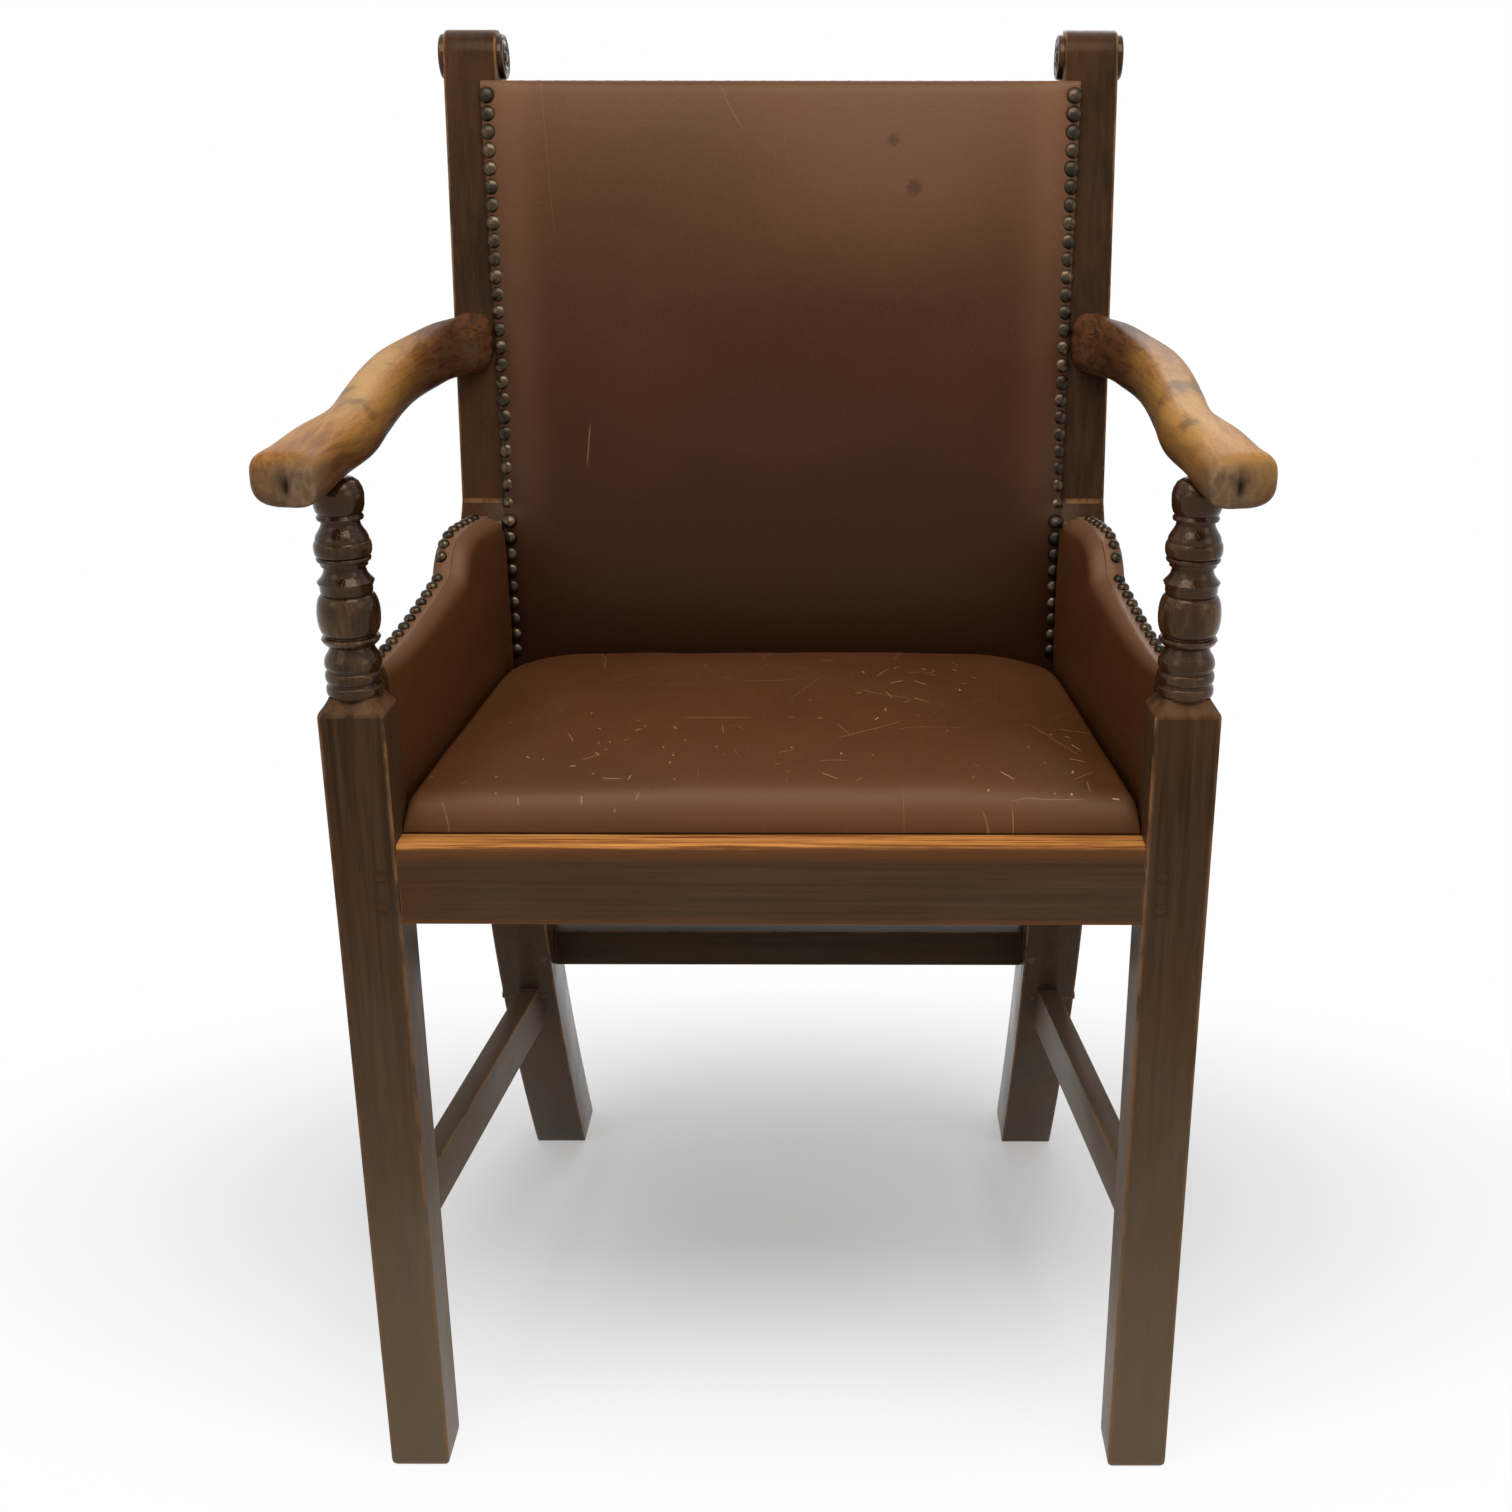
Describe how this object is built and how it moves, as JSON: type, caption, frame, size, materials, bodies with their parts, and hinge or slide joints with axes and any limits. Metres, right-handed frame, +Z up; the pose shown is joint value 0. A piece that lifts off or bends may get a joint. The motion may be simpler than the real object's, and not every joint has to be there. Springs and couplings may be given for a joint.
{
  "type": "open-arm chair",
  "caption": "Oak armchair with open curved arms on turned supports, rolled post tops, raked back legs and nailed leather on its seat, back and sides.",
  "frame": {"origin": "on the floor, in the middle of the chair's outer box", "axes": "-Y is the front that a sitter faces, +Z is up, +X is the sitter's left"},
  "size_m": [0.574, 0.538, 0.964],
  "materials": {
    "stained_oak": "satin",
    "worn_oak": "satin",
    "leather": "satin",
    "jute": "matte",
    "antique_brass": "satin",
    "screw_steel": "satin"
  },
  "bodies": {
    "root": {"front_leg_left": "stained_oak", "front_leg_right": "stained_oak", "rear_post_left": "stained_oak", "rear_post_right": "stained_oak", "scroll_bosses_left": "stained_oak", "scroll_bosses_right": "stained_oak", "arm_left": "worn_oak", "arm_right": "worn_oak", "front_seat_rail": "worn_oak", "side_seat_rail_left": "stained_oak", "side_seat_rail_right": "stained_oak", "rear_seat_rail": "stained_oak", "side_stretcher_left": "stained_oak", "side_stretcher_right": "stained_oak", "rear_stretcher": "stained_oak", "back_top_rail": "stained_oak", "back_bottom_rail": "stained_oak", "side_board_left": "stained_oak", "side_board_right": "stained_oak", "corner_blocks": "stained_oak", "frame_screws": "screw_steel", "seat_bearer_left": "stained_oak", "seat_bearer_right": "stained_oak", "frame_pegs": "stained_oak", "seat_frame_front_bar": "stained_oak", "seat_frame_rear_bar": "stained_oak", "seat_frame_left_bar": "stained_oak", "seat_frame_right_bar": "stained_oak", "seat_webbing": "jute", "seat_canvas": "jute", "seat_cushion": "leather", "back_webbing": "jute", "back_pad": "leather", "outside_back_cover": "leather", "side_pad_left": "leather", "side_pad_right": "leather", "outside_cover_left": "leather", "outside_cover_right": "leather", "back_nails_left": "antique_brass", "back_nails_right": "antique_brass", "back_nails_top": "antique_brass", "outside_back_nails": "antique_brass", "side_nails_left": "antique_brass", "side_nails_right": "antique_brass"}
  },
  "joints": []
}
